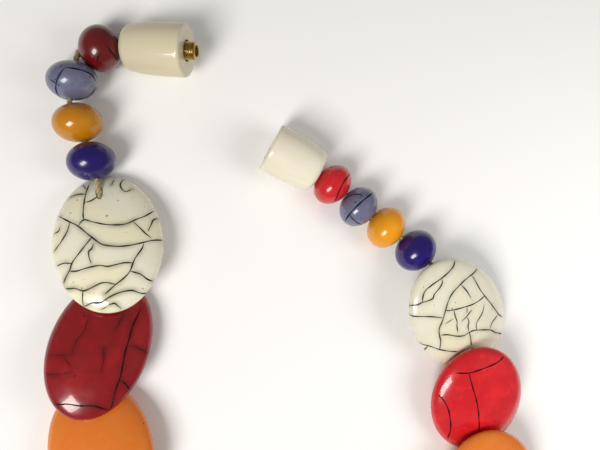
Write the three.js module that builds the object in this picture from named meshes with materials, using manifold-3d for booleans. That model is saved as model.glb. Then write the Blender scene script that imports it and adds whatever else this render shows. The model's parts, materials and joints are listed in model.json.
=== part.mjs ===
// Beaded necklace, lying open on a table: thirteen flat oval resin discs shingled one over the
// next, four small oval beads at each end, and the two halves of a barrel screw clasp.
// Every piece hangs on one stranded thread. Millimetres, +Z up, the table at Z 0, the origin at
// the centre of the outline. The strand starts at the clasp half with the stud, top left in plan,
// runs down the left side, round the bottom and up the right side to the half with the socket.
import * as THREE from "three";
import { mergeVertices } from "three/addons/utils/BufferGeometryUtils.js";
import Module from "manifold-3d";

const wasm = await Module();
wasm.setup();

// Flat oval discs
const DISC_LENGTH = 38.5;
const DISC_WIDTH = 29.5;
const DISC_THICKNESS = 9.8;
const DISC_SIDES = 22;
const DISC_RINGS = 8;

// Small beads, flattened along the thread
const BEAD_DIAMETER = 13.2;
const BEAD_LENGTH = 10.8;
const BEAD_SIDES = 14;
const BEAD_RINGS = 7;

// Thread, and the holes drilled for it
const THREAD_DIAMETER = 1.3;
const THREAD_SIDES = 8;
const HOLE_CLEARANCE = 0.3;
const HOLE_SIDES = 8;
const HOLE_LEAD = 3; // how far a hole follows the thread past the bend at its mouth
const CORNER_EASE = 0.9; // length of thread on each side of a bend that is rounded
const SHORTEST_RUN = 2.4; // bends closer together than this share one corner

const PIECE_GAP = 0.3; // between neighbours that rest on each other

// Clasp halves: tapered barrels with a flat screw face and a rounded shoulder at the beads
const CLASP_DIAMETER = 14.8; // at the screw face
const CLASP_SHOULDER_DIAMETER = 14.2; // where the shoulder starts to round
const CLASP_SHOULDER_RADIUS = 3.0;
const CLASP_EDGE_RADIUS = 0.8;
const CLASP_ARC_STEPS = 3;
const CLASP_SIDES = 22;
const STUD_HALF_LENGTH = 18.3;
const STUD_HALF_LIFT = 17; // degrees: the thread holds the screw face up off the table
const STUD_HALF_HEADING = 174;
const SOCKET_HALF_LENGTH = 16.2;
const SOCKET_HALF_HEADING = 153.5;
const THREAD_ANCHOR = 6; // how far the thread runs into each half

// Brass screw: the stud in one half and the socket in the other
const STUD_DIAMETER = 5.0;
const STUD_REACH = 2.8; // out of the screw face
const STUD_ROOT = 6.4; // inside the half
const STUD_CHAMFER = 0.5;
const STUD_RECESS_CLEARANCE = 0.35;
const SCREW_PITCH = 0.9;
const SCREW_DEPTH = 0.3;
const SCREW_SIDES = 12;
const SCREW_CLEARANCE = 0.2; // between the stud's crests and the socket's
const SOCKET_WALL = 0.9;
const SOCKET_DEPTH = 6.0;
const SEAT_CLEARANCE = 0.3; // between the socket and the half that holds it

const COLOURS = {
  cream: { color: 0xe6dfc6, roughness: 0.18, metalness: 0 },
  red: { color: 0x9c1a20, roughness: 0.16, metalness: 0 },
  orange: { color: 0xd9741c, roughness: 0.16, metalness: 0 },
  purple: { color: 0x2c1a6a, roughness: 0.16, metalness: 0 },
  lavender: { color: 0x7d809e, roughness: 0.18, metalness: 0 },
  ivory: { color: 0xdccfa6, roughness: 0.22, metalness: 0 },
  brass: { color: 0xb08a3a, roughness: 0.35, metalness: 1 },
  thread: { color: 0xa89a6a, roughness: 0.6, metalness: 0.2 },
};

// The strand between the clasp halves, in threading order; beads and discs are numbered apart.
// heading: which way the hole runs in plan, in degrees from +X. long, wide: this casting's share
// of the nominal sizes, along and across the thread. skew: how far it is turned about the
// vertical against its hole. tilt: how far its leading end is raised. slack: thread left bare
// before it. A row without skew, tilt or slack has none.
const STRAND = [
  { shape: "bead", number: 1, colour: "red", heading: 187, long: 1.1, wide: 0.98 },
  { shape: "bead", number: 2, colour: "lavender", heading: 261, long: 1.02, wide: 1.04, skew: 10 },
  { shape: "bead", number: 3, colour: "orange", heading: 292, long: 1.05, wide: 1.02, skew: -18, slack: 0.8 },
  { shape: "bead", number: 4, colour: "purple", heading: 287, long: 1.02, wide: 1.0, skew: -9 },
  { shape: "disc", number: 1, colour: "cream", heading: 281, long: 1.02, wide: 1.0, skew: -4, tilt: 14.3 },
  { shape: "disc", number: 2, colour: "red", heading: 253, long: 1.01, wide: 0.9, tilt: 14.3 },
  { shape: "disc", number: 3, colour: "orange", heading: 289, long: 0.98, wide: 0.93, tilt: 14.3 },
  { shape: "disc", number: 4, colour: "purple", heading: 273, long: 0.99, wide: 1.0, tilt: 14.3 },
  { shape: "disc", number: 5, colour: "lavender", heading: 284, long: 1.01, wide: 0.98, tilt: 14.3 },
  { shape: "disc", number: 6, colour: "cream", heading: 319, long: 0.99, wide: 1.01, tilt: 14.3 },
  { shape: "disc", number: 7, colour: "red", heading: 351, long: 1.03, wide: 0.95, tilt: 14.3 },
  { shape: "disc", number: 8, colour: "cream", heading: 22, long: 1.0, wide: 1.0, tilt: 14.3 },
  { shape: "disc", number: 9, colour: "lavender", heading: 52, long: 0.98, wide: 0.99, tilt: 14.3 },
  { shape: "disc", number: 10, colour: "purple", heading: 77, long: 1.0, wide: 1.0, tilt: 14.3 },
  { shape: "disc", number: 11, colour: "orange", heading: 106, long: 0.98, wide: 1.03, tilt: 14.3 },
  { shape: "disc", number: 12, colour: "red", heading: 91.5, long: 0.89, wide: 0.97, skew: 1.5, tilt: 18.5 },
  { shape: "disc", number: 13, colour: "cream", heading: 111, long: 1.02, wide: 1.02, skew: 27, tilt: 18.5 },
  { shape: "bead", number: 5, colour: "purple", heading: 139, long: 1.04, wide: 1.0, slack: 1.6 },
  { shape: "bead", number: 6, colour: "orange", heading: 147, long: 0.97, wide: 0.98, slack: 0.6 },
  { shape: "bead", number: 7, colour: "lavender", heading: 141, long: 0.96, wide: 0.96 },
  { shape: "bead", number: 8, colour: "red", heading: 140, long: 0.92, wide: 0.96 },
];

const rad = THREE.MathUtils.degToRad;
const planDirection = (heading) => new THREE.Vector3(Math.cos(rad(heading)), Math.sin(rad(heading)), 0);
const holeRadius = THREAD_DIAMETER / 2 + HOLE_CLEARANCE;

// A geometry as a solid for joining and cutting.
function solidOf(geometry) {
  const bare = geometry.index ? geometry.toNonIndexed() : geometry.clone();
  bare.deleteAttribute("normal");
  bare.deleteAttribute("uv");
  const merged = mergeVertices(bare, 1e-4);
  return new wasm.Manifold(
    new wasm.Mesh({
      numProp: 3,
      vertProperties: merged.attributes.position.array,
      triVerts: new Uint32Array(merged.index.array),
    }),
  );
}

function geometryOf(solid) {
  const mesh = solid.getMesh();
  const geometry = new THREE.BufferGeometry();
  geometry.setAttribute("position", new THREE.BufferAttribute(mesh.vertProperties, 3));
  geometry.setIndex(new THREE.BufferAttribute(mesh.triVerts, 1));
  geometry.computeVertexNormals();
  return geometry;
}

// Turns a lathe's profile, given as [distance along, radius] points, about the X axis.
function turned(profile, sides) {
  const points = profile.map(([along, radius]) => new THREE.Vector2(radius, along));
  return new THREE.LatheGeometry(points, sides).rotateZ(-Math.PI / 2);
}

// Points of an arc in a profile, from one angle to another in degrees, about [along, radius].
function arcPoints(along, radius, size, from, to) {
  return Array.from({ length: CLASP_ARC_STEPS + 1 }, (_, i) => {
    const angle = rad(from + ((to - from) * i) / CLASP_ARC_STEPS);
    return [along + size * Math.cos(angle), radius + size * Math.sin(angle)];
  });
}

// Half sizes of a bead or disc along the thread, across it and through its faces.
function halfSizes(row) {
  const disc = row.shape === "disc";
  return new THREE.Vector3(
    ((disc ? DISC_LENGTH : BEAD_LENGTH) / 2) * row.long,
    ((disc ? DISC_WIDTH : BEAD_DIAMETER) / 2) * row.wide,
    disc ? DISC_THICKNESS / 2 : (BEAD_DIAMETER / 2) * row.wide,
  );
}

function ovalGeometry(row, grow) {
  const half = halfSizes(row).addScalar(grow);
  const disc = row.shape === "disc";
  return new THREE.SphereGeometry(1, disc ? DISC_SIDES : BEAD_SIDES, disc ? DISC_RINGS : BEAD_RINGS)
    .rotateX(Math.PI / 2)
    .scale(half.x, half.y, half.z);
}

// Outer outline of a clasp half along its axis: the screw face at one end, the shoulder at the
// other. toward is +1 where the screw face lies at the +X end.
function claspOutline(length, toward, grow) {
  const face = (toward * length) / 2 + toward * grow;
  const shoulder = -toward * (length / 2 - CLASP_SHOULDER_RADIUS);
  const faceRadius = CLASP_DIAMETER / 2 + grow;
  const shoulderRadius = CLASP_SHOULDER_DIAMETER / 2 + grow;
  const edge = arcPoints(face - toward * CLASP_EDGE_RADIUS, faceRadius - CLASP_EDGE_RADIUS,
    CLASP_EDGE_RADIUS, toward > 0 ? 0 : 180, 90);
  const round = arcPoints(shoulder, shoulderRadius - CLASP_SHOULDER_RADIUS - grow,
    CLASP_SHOULDER_RADIUS + grow, 90, toward > 0 ? 180 : 0);
  return [...edge, ...round];
}

function claspBody(length, toward, grow) {
  const outline = claspOutline(length, toward, grow);
  const closed = [[outline[0][0], 0], ...outline, [outline[outline.length - 1][0], 0]];
  return turned(toward > 0 ? closed.reverse() : closed, CLASP_SIDES);
}

// A clasp half with a wide seat bored from its screw face and the thread's hole from its shoulder.
function claspHalf(length, toward, seatRadius, seatDepth) {
  const outline = claspOutline(length, toward, 0);
  const face = outline[0][0];
  const neck = outline[outline.length - 1][0];
  const seatFloor = face - toward * seatDepth;
  const ring = [
    ...outline,
    [neck, holeRadius],
    [seatFloor, holeRadius],
    [seatFloor, seatRadius],
    [face, seatRadius],
    outline[0],
  ];
  return turned(toward > 0 ? ring.reverse() : ring, CLASP_SIDES);
}

// Zigzag of a screw thread seen in section, as rings, between two places along the axis.
function screwRings(from, to, crest, root) {
  const turns = Math.max(1, Math.round(Math.abs(to - from) / SCREW_PITCH));
  const step = (to - from) / turns;
  return Array.from({ length: turns }, (_, i) => [
    [from + step * (i + 0.25), crest],
    [from + step * (i + 0.75), root],
  ]).flat();
}

function studGeometry() {
  const radius = STUD_DIAMETER / 2;
  const inner = radius - SCREW_DEPTH;
  const end = STUD_REACH - STUD_CHAMFER;
  const profile = [
    [-STUD_ROOT, 0],
    [-STUD_ROOT, inner],
    ...screwRings(-STUD_ROOT, end, radius, inner),
    [end, inner],
    [STUD_REACH, inner - STUD_CHAMFER],
    [STUD_REACH, 0],
  ];
  return turned(profile, SCREW_SIDES);
}

const socketInner = STUD_DIAMETER / 2 + SCREW_CLEARANCE;
const socketOuter = socketInner + SCREW_DEPTH + SOCKET_WALL;

// The socket, a short tube with an inner screw thread, its mouth at 0 and its body towards -X.
function socketGeometry() {
  const valley = socketInner + SCREW_DEPTH;
  const profile = [
    [-SOCKET_DEPTH, socketOuter],
    [0, socketOuter],
    [0, valley],
    ...screwRings(0, -SOCKET_DEPTH, socketInner, valley),
    [-SOCKET_DEPTH, valley],
    [-SOCKET_DEPTH, socketOuter],
  ];
  return turned(profile, SCREW_SIDES);
}

// Turn of a piece: its heading in plan, then its leading end raised by lift degrees.
function turnOf(heading, lift) {
  return new THREE.Quaternion().setFromEuler(new THREE.Euler(0, rad(-lift), rad(heading), "ZYX"));
}

// Height of a piece's centre when its lowest point touches the table.
function restHeight(geometry, turn) {
  const vertex = new THREE.Vector3();
  const position = geometry.getAttribute("position");
  let lowest = Infinity;
  for (let i = 0; i < position.count; i++) {
    lowest = Math.min(lowest, vertex.fromBufferAttribute(position, i).applyQuaternion(turn).z);
  }
  return -lowest;
}

// A bead or disc before it is laid: its turn, the height of its centre, and how far its holes'
// mouths lie from its centre along the thread.
function ovalPiece(row) {
  const turn = turnOf(row.heading + (row.skew ?? 0), row.tilt ?? 0);
  const along = planDirection(row.heading).applyQuaternion(turn.clone().invert());
  const reach = 1 / along.divide(halfSizes(row)).length();
  const outer = (grow) => ovalGeometry(row, grow);
  const name = `${row.shape}_${row.number}_${row.colour}`;
  return { ...row, name, turn, reach, rise: 0, outer, height: restHeight(outer(0), turn) };
}

// How far a clasp half has to lean so that it lies on its taper, in degrees.
const taperLean = THREE.MathUtils.radToDeg(
  Math.asin(
    (CLASP_DIAMETER - CLASP_SHOULDER_DIAMETER) / 2
      / (SOCKET_HALF_LENGTH - CLASP_SHOULDER_RADIUS - CLASP_EDGE_RADIUS),
  ),
);

function claspPiece(name, length, toward, heading, lift) {
  const turn = turnOf(heading, lift);
  const outer = (grow) => claspBody(length, toward, grow);
  const reach = (length / 2) * Math.cos(rad(lift));
  const rise = (length / 2) * Math.sin(rad(lift));
  return { name, heading, turn, reach, rise, outer, height: restHeight(outer(0), turn) };
}

const studHalf = claspPiece("clasp_stud_half", STUD_HALF_LENGTH, -1, STUD_HALF_HEADING, -STUD_HALF_LIFT);
const socketHalf = claspPiece("clasp_socket_half", SOCKET_HALF_LENGTH, 1, SOCKET_HALF_HEADING, taperLean);

function placedSolid(piece, grow) {
  const matrix = new THREE.Matrix4().compose(piece.centre, piece.turn, new THREE.Vector3(1, 1, 1));
  return solidOf(piece.outer(grow).applyMatrix4(matrix));
}

// Puts a piece behind the one before it: as near along its own heading as their surfaces allow,
// and then its slack further.
function seatAfter(previous, piece) {
  const blocked = placedSolid(previous, PIECE_GAP / 2);
  const start = previous.centre.clone().addScaledVector(planDirection(previous.heading), previous.reach);
  const place = (free) => {
    piece.free = free;
    piece.centre = start.clone().addScaledVector(planDirection(piece.heading), free + piece.reach);
    piece.centre.z = piece.height;
    return placedSolid(piece, PIECE_GAP / 2).intersect(blocked).isEmpty();
  };
  let near = 0;
  let far = place(near) ? near : BEAD_DIAMETER;
  for (let i = 0; i < 10 && far > near; i++) {
    const middle = (near + far) / 2;
    if (place(middle)) far = middle;
    else near = middle;
  }
  place(far + (piece.slack ?? 0));
}

const pieces = [studHalf, ...STRAND.map(ovalPiece), socketHalf];
studHalf.centre = new THREE.Vector3(0, 0, studHalf.height);
pieces.slice(1).forEach((piece, i) => seatAfter(pieces[i], piece));

// The mouths of a piece's hole: sign -1 where the thread comes in, +1 where it goes out.
function mouthOf(piece, sign) {
  const mouth = piece.centre.clone().addScaledVector(planDirection(piece.heading), sign * piece.reach);
  mouth.z += sign * piece.rise;
  return mouth;
}

// Corners of the thread: one where two pieces meet, two where it runs free between them. Each
// piece keeps the places in this list of the corners at its own two mouths.
function threadCorners() {
  const inward = mouthOf(studHalf, 1).sub(mouthOf(studHalf, -1)).normalize();
  const corners = [mouthOf(studHalf, 1).addScaledVector(inward, -THREAD_ANCHOR)];
  for (let i = 1; i < pieces.length; i++) {
    const [previous, piece] = [pieces[i - 1], pieces[i]];
    const out = mouthOf(previous, 1);
    const into = mouthOf(piece, -1);
    previous.lastCorner = corners.length;
    if (previous === studHalf) corners.push(out);
    else if (piece === socketHalf) corners.push(into);
    else if (piece.free < SHORTEST_RUN) corners.push(out.lerp(into, 0.5));
    else corners.push(out, into);
    piece.firstCorner = corners.length - 1;
  }
  const outward = mouthOf(socketHalf, 1).sub(mouthOf(socketHalf, -1)).normalize();
  corners.push(mouthOf(socketHalf, -1).addScaledVector(outward, THREAD_ANCHOR));
  return corners;
}

const corners = threadCorners();

// A curve that passes its points one by one, so that a tube along it has a ring at each.
class PointCurve extends THREE.Curve {
  constructor(points) {
    super();
    this.points = points;
  }
  getPoint(t, target = new THREE.Vector3()) {
    const place = t * (this.points.length - 1);
    const index = Math.min(Math.floor(place), this.points.length - 2);
    return target.lerpVectors(this.points[index], this.points[index + 1], place - index);
  }
  getPointAt(u, target) {
    return this.getPoint(u, target);
  }
  getTangentAt(u) {
    const last = this.points.length - 1;
    const index = Math.round(u * last);
    const before = this.points[Math.max(index - 1, 0)];
    const after = this.points[Math.min(index + 1, last)];
    return after.clone().sub(before).normalize();
  }
}

// A line through corners, each bend eased by three points.
function easedLine(list) {
  const points = [list[0]];
  for (let i = 1; i < list.length - 1; i++) {
    const back = list[i - 1].clone().sub(list[i]).setLength(CORNER_EASE).add(list[i]);
    const on = list[i + 1].clone().sub(list[i]).setLength(CORNER_EASE).add(list[i]);
    const middle = back.clone().add(on).multiplyScalar(0.25).addScaledVector(list[i], 0.5);
    points.push(back, middle, on);
  }
  return [...points, list[list.length - 1]];
}

function tube(points, radius, sides) {
  const section = new THREE.Shape(
    Array.from({ length: sides }, (_, i) => {
      const angle = (i * 2 * Math.PI) / sides;
      return new THREE.Vector2(Math.cos(angle), Math.sin(angle)).multiplyScalar(radius);
    }),
  );
  return new THREE.ExtrudeGeometry(section, {
    steps: points.length - 1,
    extrudePath: new PointCurve(points),
    bevelEnabled: false,
  });
}

// The drill for a bead or disc: it follows the thread from bend to bend and a little past both.
function drill(piece) {
  const [first, last] = [piece.firstCorner, piece.lastCorner];
  const before = corners[first - 1].clone().sub(corners[first]).setLength(HOLE_LEAD).add(corners[first]);
  const after = corners[last + 1].clone().sub(corners[last]).setLength(HOLE_LEAD).add(corners[last]);
  return tube(easedLine([before, ...corners.slice(first, last + 1), after]), holeRadius, HOLE_SIDES);
}

const colourOf = Object.fromEntries(
  Object.entries(COLOURS).map(([name, look]) => [name, new THREE.MeshStandardMaterial({ name, ...look })]),
);

const necklace = new THREE.Group();
necklace.name = "beaded_necklace";

function add(name, geometry, colour, centre, turn) {
  const mesh = new THREE.Mesh(geometry, colourOf[colour]);
  mesh.name = name;
  mesh.position.copy(centre);
  mesh.quaternion.copy(turn);
  necklace.add(mesh);
}

// Beads and discs, drilled where the thread passes.
for (const piece of pieces.filter((one) => one.shape)) {
  const toPiece = new THREE.Matrix4()
    .compose(piece.centre, piece.turn, new THREE.Vector3(1, 1, 1))
    .invert();
  const drilled = solidOf(piece.outer(0)).subtract(solidOf(drill(piece).applyMatrix4(toPiece)));
  add(piece.name, geometryOf(drilled), piece.colour, piece.centre, piece.turn);
}

// Clasp halves with their brass screw parts.
const studSeat = STUD_DIAMETER / 2 + STUD_RECESS_CLEARANCE;
add(studHalf.name, claspHalf(STUD_HALF_LENGTH, -1, studSeat, STUD_ROOT + SEAT_CLEARANCE), "ivory",
  studHalf.centre, studHalf.turn);
const studTurn = studHalf.turn.clone().multiply(turnOf(180, 0));
add("clasp_stud", studGeometry(), "brass", mouthOf(studHalf, -1), studTurn);

const socketSeat = socketOuter + SEAT_CLEARANCE;
add(socketHalf.name, claspHalf(SOCKET_HALF_LENGTH, 1, socketSeat, SOCKET_DEPTH + SEAT_CLEARANCE), "ivory",
  socketHalf.centre, socketHalf.turn);
add("clasp_socket", socketGeometry(), "brass", mouthOf(socketHalf, 1), socketHalf.turn);

const threadTube = tube(easedLine(corners), THREAD_DIAMETER / 2, THREAD_SIDES);
add("thread", threadTube, "thread", new THREE.Vector3(), new THREE.Quaternion());

// The origin goes to the centre of the outline, on the table.
necklace.updateMatrixWorld(true);
const outline = new THREE.Box3().setFromObject(necklace, true);
const middle = outline.getCenter(new THREE.Vector3());
necklace.position.set(-middle.x, -middle.y, 0);

export default necklace;
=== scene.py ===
"""Looks for the beaded necklace: glossy crackle-resin discs and beads on a twisted thread, with
a two-part barrel screw clasp, unfastened, on a plain pale table.

Every bead, disc, clasp half and screw part takes its place, turn and size from its own solid.
"""

import json
import math
import random

import bmesh
import bpy
import numpy as np
from mathutils import Matrix, Vector
from mathutils.kdtree import KDTree


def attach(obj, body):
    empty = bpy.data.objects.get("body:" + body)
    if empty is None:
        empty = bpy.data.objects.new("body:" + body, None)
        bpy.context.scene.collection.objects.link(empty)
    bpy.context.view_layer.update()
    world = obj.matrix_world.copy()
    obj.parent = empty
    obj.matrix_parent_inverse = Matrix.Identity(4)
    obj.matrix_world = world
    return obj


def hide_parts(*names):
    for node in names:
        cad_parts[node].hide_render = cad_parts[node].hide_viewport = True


bl_info = {
    "name": "Beaded necklace",
    "version": (1, 0, 0),
    "blender": (4, 5, 0),
    "location": "3D View > Sidebar > Necklace",
    "description": "Crackle-resin discs and beads on a thread with a barrel screw clasp",
    "category": "Object",
}

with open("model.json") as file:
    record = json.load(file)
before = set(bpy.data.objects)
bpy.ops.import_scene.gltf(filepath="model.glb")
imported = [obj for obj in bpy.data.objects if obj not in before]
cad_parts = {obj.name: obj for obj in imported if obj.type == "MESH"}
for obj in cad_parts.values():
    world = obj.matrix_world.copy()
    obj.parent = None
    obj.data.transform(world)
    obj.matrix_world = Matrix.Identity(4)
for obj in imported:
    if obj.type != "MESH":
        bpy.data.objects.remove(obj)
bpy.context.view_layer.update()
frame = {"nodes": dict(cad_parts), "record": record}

MM = 0.001

# How finely each kind of casting is meshed: round its middle, and from pole to pole.
DISC_MESH = (112, 56)
BEAD_MESH = (72, 36)
STAINED_MESH = (160, 112)
BORE_SIDES = 20
CLASP_SIDES = 96
FLANK_STEPS = 16
SCREW_SIDES = 40
SCREW_STEPS = 10  # from one ridge of the screw to the next

# The solids: the sides of the thread's tube, and how closely an oval has to fit its corners.
TUBE_SIDES = 8
FIT_UNIT = 10 * MM
FIT_ERROR = 2e-4
FIT_KEPT = 0.95  # share of the corners kept at each try

GRAIN_STRETCH = 0.1  # the ivory's grain is this much finer across than along

# The photograph's view: its frame and focal length in pixels, and where the camera stood.
PHOTO_WIDTH = 600
PHOTO_HEIGHT = 450
PHOTO_FOCUS = 560
SENSOR_WIDTH = 36
VIEW_PLACE = Vector((-0.02714, 0.04674, 0.16821))
VIEW_LEAN = (math.radians(9), math.radians(3))

# Cracks read off enlarged crops of the photograph. Each chart gives its crop's corner in photo
# pixels, its enlargement and its lines, in pixels of the crop; then its fainter lines.
CRACK_CHARTS = {
    "disc_1_cream": ((30, 170), 9.8, [
        [(285, 455), (380, 505), (470, 550), (600, 655), (700, 725), (800, 745), (930, 745),
         (1090, 715), (1200, 690), (1300, 688)],
        [(470, 550), (525, 490), (620, 510), (730, 532), (850, 538), (950, 525), (1050, 480),
         (1130, 450), (1215, 402)],
        [(525, 490), (520, 420), (530, 320), (545, 240), (560, 190), (580, 145)],
        [(530, 320), (600, 300), (690, 245)],
        [(390, 270), (470, 240), (545, 238)],
        [(515, 145), (545, 185)],
        [(930, 90), (895, 120), (885, 155), (910, 200), (950, 210), (995, 190)],
        [(825, 95), (800, 145)],
        [(1015, 510), (1080, 570), (1130, 620), (1190, 670)],
        [(1255, 475), (1210, 490), (1185, 540), (1155, 600)],
        [(390, 515), (365, 600), (320, 680), (280, 740), (238, 800)],
        [(295, 555), (280, 600), (240, 625)],
        [(605, 660), (540, 740), (470, 830), (410, 915), (385, 990), (330, 1110)],
        [(265, 940), (330, 915), (405, 915)],
        [(385, 990), (450, 992), (540, 965), (620, 945), (690, 935), (760, 945), (850, 925),
         (930, 908), (1010, 910)],
        [(1115, 720), (1100, 765), (1040, 850), (1010, 910), (980, 990), (930, 1050), (830, 1130),
         (735, 1215)],
        [(980, 990), (1080, 1020), (1150, 1070), (1205, 1090)],
        [(620, 725), (605, 770), (575, 800), (580, 860), (600, 915)],
        [(345, 1160), (430, 1160), (520, 1185), (590, 1160), (680, 1115), (750, 1103), (835, 1120)],
        [(520, 1185), (515, 1240), (525, 1330)],
        [(525, 1335), (600, 1305), (690, 1300), (780, 1245), (880, 1200), (990, 1180),
         (1060, 1200), (1160, 1205)],
        [(695, 1370), (750, 1340)],
        [(770, 1325), (830, 1308), (895, 1355)],
    ]),
    "disc_13_cream": ((390, 240), 10.453, [
        [(680, 215), (665, 270), (620, 330), (540, 400), (440, 470), (370, 530), (345, 590),
         (340, 650)],
        [(530, 400), (548, 440), (520, 500), (460, 575), (450, 610), (400, 635), (340, 652),
         (270, 680), (190, 688)],
        [(910, 300), (870, 350), (740, 460), (650, 560), (610, 640), (580, 740), (550, 840),
         (515, 930), (518, 1000), (530, 1060), (520, 1145)],
        [(855, 370), (950, 530), (1050, 660), (1130, 770), (1175, 810)],
        [(740, 465), (800, 530), (825, 570), (848, 610)],
        [(580, 740), (670, 730), (800, 695), (880, 665), (950, 620), (990, 580)],
        [(670, 730), (680, 790), (700, 850), (700, 900), (708, 960)],
        [(805, 700), (805, 760)],
        [(855, 730), (800, 800), (750, 850)],
        [(800, 800), (825, 850), (815, 900), (825, 960)],
        [(985, 675), (965, 760), (905, 870), (905, 940)],
        [(1130, 775), (1070, 860), (1040, 940)],
        [(190, 765), (240, 795), (330, 800), (440, 802), (550, 815)],
        [(585, 875), (620, 850), (660, 825)],
        [(530, 995), (600, 990), (700, 1005), (770, 1000), (830, 965), (900, 942), (1040, 940),
         (1100, 965), (1165, 978)],
        [(830, 965), (845, 1040), (850, 1105)],
        [(285, 1050), (400, 1105), (520, 1145), (600, 1160), (710, 1165)],
        [(400, 1105), (355, 1150)],
    ]),
    "disc_12_red": ((390, 340), 10.453, [
        [(1190, 170), (1130, 230), (1000, 290), (830, 345), (680, 348)],
        [(825, 350), (860, 480), (900, 620), (925, 760), (935, 960)],
        [(495, 560), (560, 630), (610, 730), (632, 850), (630, 950), (600, 1035)],
    ]),
    "disc_2_red": ((30, 280), 9.22, [
        [(1020, 260), (950, 420), (910, 560), (870, 700), (830, 900), (780, 1040), (740, 1190)],
        [(825, 920), (880, 960), (920, 1010)],
        [(740, 1190), (600, 1165), (450, 1160), (330, 1145), (220, 1140)],
    ], [
        [(180, 690), (300, 695), (380, 690)],
        [(320, 720), (385, 805)],
        [(140, 855), (270, 870), (380, 850)],
        [(680, 630), (680, 720), (655, 850)],
        [(900, 600), (980, 620), (1040, 650), (1110, 680)],
        [(540, 340), (500, 470), (430, 560), (380, 690)],
        [(880, 310), (830, 380), (780, 470)],
    ]),
    "bead_2_lavender": ((30, 10), 8.253, [
        [(290, 475), (240, 540), (215, 610), (225, 690), (270, 730), (380, 740), (480, 710),
         (545, 640)],
        [(290, 475), (400, 490), (500, 530), (545, 590)],
        [(160, 570), (210, 600)],
    ]),
    "bead_7_lavender": ((240, 110), 9.8, [
        [(1300, 815), (1170, 920), (1075, 1020), (1030, 1090)],
        [(1075, 1030), (1130, 1090), (1190, 1120)],
        [(1010, 900), (1060, 850), (1130, 825), (1200, 835)],
    ]),
    "bead_1_red": ((0, 0), 1, [
        [(104, 43), (108, 48), (113, 54), (118, 61)],
        [(97, 63), (98, 57), (100, 53)],
    ]),
    "bead_8_red": ((240, 110), 9.8, [
        [(1075, 625), (1020, 700), (970, 800), (920, 900)],
    ]),
}

# How deep each casting's colour is drawn against its resin's own colour, where it differs: partly
# each casting's own colour, partly painted shade that makes the castings on the left darker,
# bead_1_red beside the clasp most of all.
TONES_AND_SHADE = {
    "bead_1_red": 0.22, "bead_2_lavender": 0.92, "bead_3_orange": 0.63, "bead_4_purple": 0.82,
    "disc_1_cream": 1.04, "disc_2_red": 0.46, "disc_3_orange": 0.9, "disc_11_orange": 0.86,
    "disc_12_red": 1.08, "disc_13_cream": 0.93, "clasp_stud_half": 0.84, "clasp_socket_half": 0.97,
}

# How strongly a casting darkens beside its cracks, where it differs from its colour's usual: partly
# stain, partly painted shade of the cracks under the glaze.
HALOS = {"disc_13_cream": 0.5, "disc_2_red": 0.9}
USUAL_HALOS = {"cream": 1.0}

# Each resin: its darker clouds and paler wisps as shares of its colour, how many specks it has, the
# colour of its broad patches, and the colour beside its cracks, partly stain and partly painted
# shade.
RESINS = {
    "cream": dict(cloud=0.95, pale=1.05, specks=0.07, patch=(1.0, 0.97, 0.86), smoke="8E8C78"),
    "red": dict(cloud=0.7, pale=1.35, specks=0.05, patch=(0.75, 0.6, 0.7), smoke="6E0810"),
    "orange": dict(cloud=0.92, pale=1.12, specks=0.0, patch=(0.97, 0.83, 0.8), smoke="B05A18"),
    "amber": dict(cloud=0.9, pale=1.12, specks=0.0, patch=(0.98, 0.9, 0.8), smoke="B06A08"),
    "purple": dict(cloud=0.6, pale=1.3, specks=0.05, patch=(1.1, 1.1, 0.75), smoke="120638"),
    "lavender": dict(cloud=0.8, pale=1.15, specks=0.13, patch=(0.9, 0.88, 0.84), smoke="3C3E58"),
}

# The stain in the cracks of each colour, darkest and palest, and the cracks' share of full width.
STAINS = {
    "cream": dict(dark="2B2A24", pale="57533F", share=1.0),
    "red": dict(dark="1E0306", pale="38060A", share=1.0),
    "lavender": dict(dark="101226", pale="202440", share=1.2),
    "purple": dict(dark="05020F", pale="0D0620", share=0.7),
}

# How many cracks grow on each face of a casting that has no chart, by its colour.
GROWN_CRACKS = {"cream": 15, "red": 5, "lavender": 7, "purple": 3}
GROWN_ON_BEADS = {"red": 2, "lavender": 3}
CRACK_SEED = 20
CRACKS_FROM_RIM = 3  # the first ones start there, and the others on a crack

# A grown crack's steps, in millimetres and radians.
CRACK_STEP = 0.8
CRACK_MEETS = 0.7
CRACK_WANDER = 0.11
CRACK_BEND = 0.06
CRACK_MOST_STEPS = 60
FAINT_SHARE = 0.36  # width of a chart's fainter lines


def linear(code):
    """A colour picker's six-digit code as linear red, green and blue."""
    parts = (int(code[i : i + 2], 16) / 255 for i in (0, 2, 4))
    return tuple(c / 12.92 if c <= 0.04045 else ((c + 0.055) / 1.055) ** 2.4 for c in parts)


def colour_setting(name, description, code):
    return bpy.props.FloatVectorProperty(
        name=name, description=description, default=linear(code), size=3, min=0, max=1,
        subtype="COLOR",
    )


def length_setting(name, description, millimetres):
    return bpy.props.FloatProperty(
        name=name, description=description, default=millimetres * MM, min=0, subtype="DISTANCE",
        unit="LENGTH", precision=5,
    )


class NecklaceColours(bpy.types.PropertyGroup):
    """Colours of the castings, the clasp and the thread"""

    cream: colour_setting("Cream", "Cream crackle resin", "E6E2CC")
    red: colour_setting("Red", "Crimson resin", "D61F28")
    orange: colour_setting("Orange", "Orange resin of the discs", "EA862E")
    amber: colour_setting("Amber", "Orange resin of the beads", "E6980A")
    purple: colour_setting("Purple", "Deep purple resin", "1F096E")
    lavender: colour_setting("Lavender", "Grey lavender resin", "6D6F8B")
    ivory: colour_setting("Ivory", "Turned ivory-coloured resin of the clasp", "E6E1D0")
    brass: colour_setting("Brass", "Brass of the screw", "D0AC5E")
    thread: colour_setting("Thread", "Khaki and gold thread", "A1946A")


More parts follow.
